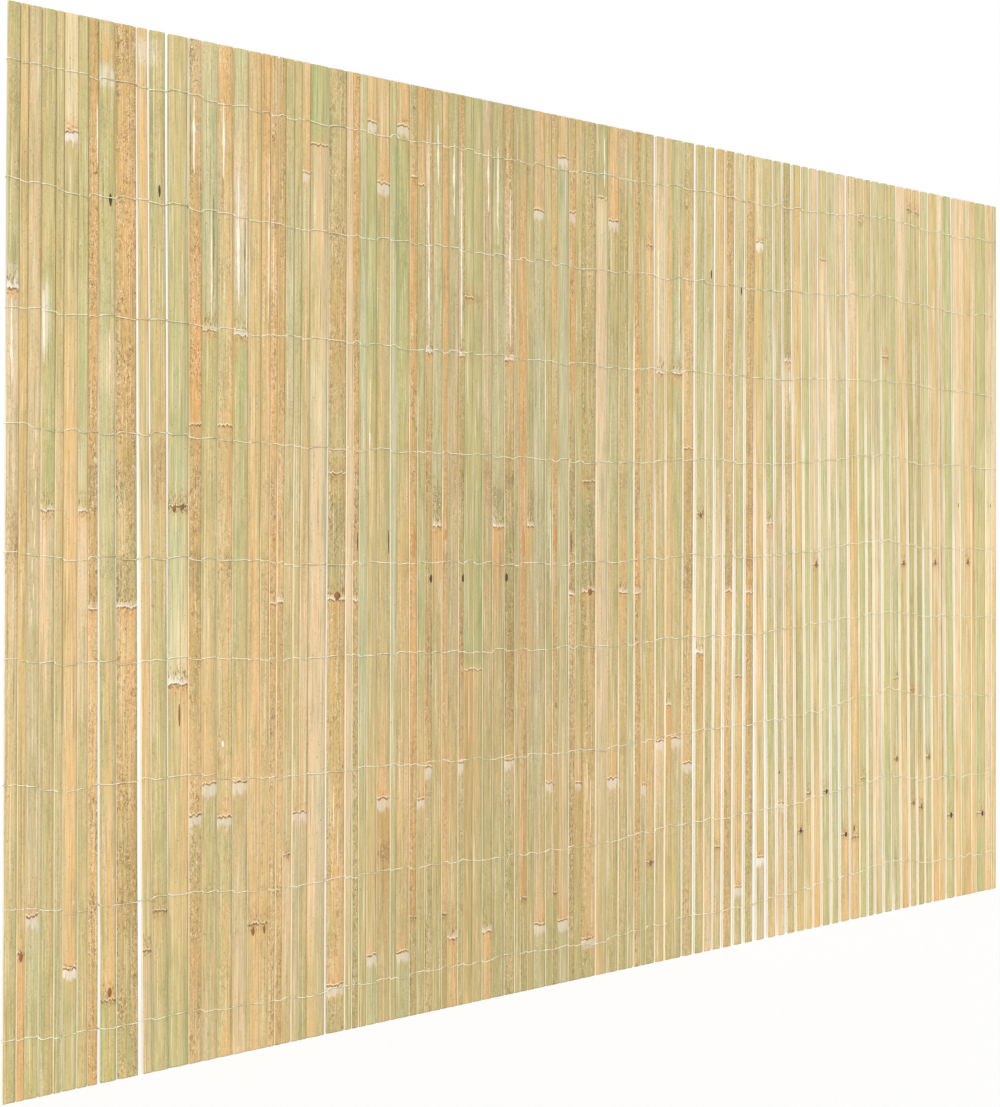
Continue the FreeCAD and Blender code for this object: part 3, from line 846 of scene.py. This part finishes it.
def makeStage():
    bm = bmesh.new()
    bmesh.ops.create_grid(bm, x_segments=1, y_segments=1, size=studio["floorSize"] / 2)
    bmesh.ops.translate(bm, verts=bm.verts, vec=(0, 0, -0.02 * mm))
    mesh = bpy.data.meshes.new("floor")
    bm.to_mesh(mesh)
    bm.free()
    floor = bpy.data.objects.new("floor", mesh)
    bpy.context.scene.collection.objects.link(floor)
    material = bpy.data.materials.new("floorWhite")
    material.use_nodes = True
    tree = material.node_tree
    nodes = tree.nodes
    nodes["Principled BSDF"].inputs["Base Color"].default_value = (0.92, 0.92, 0.92, 1)
    nodes["Principled BSDF"].inputs["Roughness"].default_value = 0.9
    path = nodes.new("ShaderNodeLightPath")
    seen = nodes.new("ShaderNodeMath")
    seen.operation = "MAXIMUM"
    seen2 = nodes.new("ShaderNodeMath")
    seen2.operation = "MAXIMUM"
    share = nodes.new("ShaderNodeMath")
    share.operation = "MULTIPLY"
    share.inputs[1].default_value = 0.82
    glow = nodes.new("ShaderNodeEmission")
    mix = nodes.new("ShaderNodeMixShader")
    tree.links.new(path.outputs["Is Camera Ray"], seen.inputs[0])
    tree.links.new(path.outputs["Is Glossy Ray"], seen.inputs[1])
    tree.links.new(seen.outputs[0], seen2.inputs[0])
    tree.links.new(path.outputs["Is Transmission Ray"], seen2.inputs[1])
    tree.links.new(seen2.outputs[0], share.inputs[0])
    tree.links.new(share.outputs[0], mix.inputs[0])
    tree.links.new(nodes["Principled BSDF"].outputs[0], mix.inputs[1])
    tree.links.new(glow.outputs[0], mix.inputs[2])
    tree.links.new(mix.outputs[0], nodes["Material Output"].inputs[0])
    mesh.materials.append(material)


def makeWorld():
    world = bpy.data.worlds.new("studio")
    bpy.context.scene.world = world
    world.use_nodes = True
    nodes, links = world.node_tree.nodes, world.node_tree.links
    path = nodes.new("ShaderNodeLightPath")
    seen = nodes.new("ShaderNodeMath")
    seen.operation = "MAXIMUM"
    seen2 = nodes.new("ShaderNodeMath")
    seen2.operation = "MAXIMUM"
    strength = nodes.new("ShaderNodeMapRange")
    strength.inputs["To Min"].default_value = studio["worldStrength"]
    strength.inputs["To Max"].default_value = 1.0
    links.new(path.outputs["Is Camera Ray"], seen.inputs[0])
    links.new(path.outputs["Is Glossy Ray"], seen.inputs[1])
    links.new(seen.outputs[0], seen2.inputs[0])
    links.new(path.outputs["Is Transmission Ray"], seen2.inputs[1])
    links.new(seen2.outputs[0], strength.inputs["Value"])
    nodes["Background"].inputs["Color"].default_value = (1, 1, 1, 1)
    links.new(strength.outputs[0], nodes["Background"].inputs["Strength"])


def makeSun(name, strength, turn, angle):
    lamp = bpy.data.lights.new(name, "SUN")
    lamp.energy = strength
    lamp.angle = math.radians(angle)
    thing = bpy.data.objects.new(name, lamp)
    thing.rotation_euler = [math.radians(part) for part in turn]
    bpy.context.scene.collection.objects.link(thing)


def makeCamera():
    camera = bpy.data.cameras.new("camera")
    camera.lens = studio["lens"]
    camera.shift_y = studio["shift"]
    camera.clip_start = 0.01
    thing = bpy.data.objects.new("camera", camera)
    thing.location = studio["cameraPlace"]
    thing.rotation_euler = [math.radians(part) for part in studio["cameraTurn"]]
    bpy.context.scene.collection.objects.link(thing)
    bpy.context.scene.camera = thing


makeStage()
makeWorld()
makeSun("keyLight", studio["keyStrength"], (50, 0, -44), studio["keyAngle"])
makeSun("fillLight", studio["fillStrength"], (55, 0, 150), 60.0)
makeCamera()
bpy.context.scene.view_settings.view_transform = "Standard"
print("stage set")
